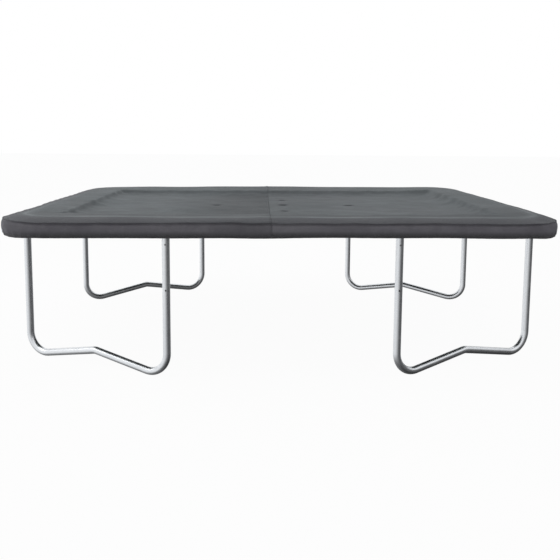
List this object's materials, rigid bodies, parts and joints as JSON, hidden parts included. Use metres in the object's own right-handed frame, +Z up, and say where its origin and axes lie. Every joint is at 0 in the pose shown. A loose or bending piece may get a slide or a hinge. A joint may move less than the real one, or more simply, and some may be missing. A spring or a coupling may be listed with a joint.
{
  "type": "trampoline",
  "caption": "Rectangular garden trampoline on W-shaped galvanised legs, with a sprung mat, edge pads and a fitted grey weather cover.",
  "frame": {"origin": "on the floor under the centre of the trampoline", "axes": "+X along the length, +Y across the width from front to back, +Z up"},
  "size_m": [3.1202, 2.2202, 0.875],
  "materials": {
    "galvanised_tube": "satin",
    "zinc_plate": "satin",
    "pad_cloth": "satin",
    "pad_foam": "matte",
    "elastic": "matte",
    "mat_weave": "matte",
    "webbing": "matte",
    "cover_top_cloth": "matte",
    "cover_skirt_cloth": "matte",
    "eyelet_plastic": "matte"
  },
  "bodies": {
    "frame": {"rail_front_left": "galvanised_tube", "rail_front_right": "galvanised_tube", "rail_back_left": "galvanised_tube", "rail_back_right": "galvanised_tube", "rail_left": "galvanised_tube", "rail_right": "galvanised_tube", "corner_rail_front_left": "galvanised_tube", "corner_rail_front_right": "galvanised_tube", "corner_rail_back_left": "galvanised_tube", "corner_rail_back_right": "galvanised_tube", "leg_sockets": "galvanised_tube", "upright_front_left_side": "galvanised_tube", "upright_front_left_end": "galvanised_tube", "upright_front_right_side": "galvanised_tube", "upright_front_right_end": "galvanised_tube", "upright_back_left_side": "galvanised_tube", "upright_back_left_end": "galvanised_tube", "upright_back_right_side": "galvanised_tube", "upright_back_right_end": "galvanised_tube", "leg_base_front_left": "galvanised_tube", "leg_base_front_right": "galvanised_tube", "leg_base_back_left": "galvanised_tube", "leg_base_back_right": "galvanised_tube", "rail_screws": "zinc_plate", "leg_screws": "zinc_plate", "springs_front": "zinc_plate", "springs_back": "zinc_plate", "springs_left": "zinc_plate", "springs_right": "zinc_plate", "springs_corners": "zinc_plate", "pad_front": "pad_cloth", "pad_back": "pad_cloth", "pad_left": "pad_cloth", "pad_right": "pad_cloth", "pad_foam_front": "pad_foam", "pad_foam_back": "pad_foam", "pad_foam_left": "pad_foam", "pad_foam_right": "pad_foam", "pad_straps": "elastic"},
    "mat": {"jumping_mat": "mat_weave", "mat_hem": "webbing", "ring_loops": "webbing", "rings_front": "zinc_plate", "rings_back": "zinc_plate", "rings_left": "zinc_plate", "rings_right": "zinc_plate", "rings_corners": "zinc_plate"},
    "cover": {"cover_top_left": "cover_top_cloth", "cover_top_right": "cover_top_cloth", "cover_skirt_left": "cover_skirt_cloth", "cover_skirt_right": "cover_skirt_cloth", "hem_elastic": "elastic", "drain_eyelets": "eyelet_plastic"}
  },
  "joints": [
    {"name": "mat_bounce", "type": "slide", "parent": "frame", "child": "mat", "axis": [0, 0, 1], "range_m": [-0.3, 0], "stiffness_N_per_m": 4000, "springref_m": 0.012, "deforming": ["springs_front", "springs_back", "springs_left", "springs_right", "springs_corners"]},
    {"name": "cover_lift", "type": "slide", "parent": "frame", "child": "cover", "axis": [0, 0, 1], "range_m": [0, 0.4]}
  ]
}
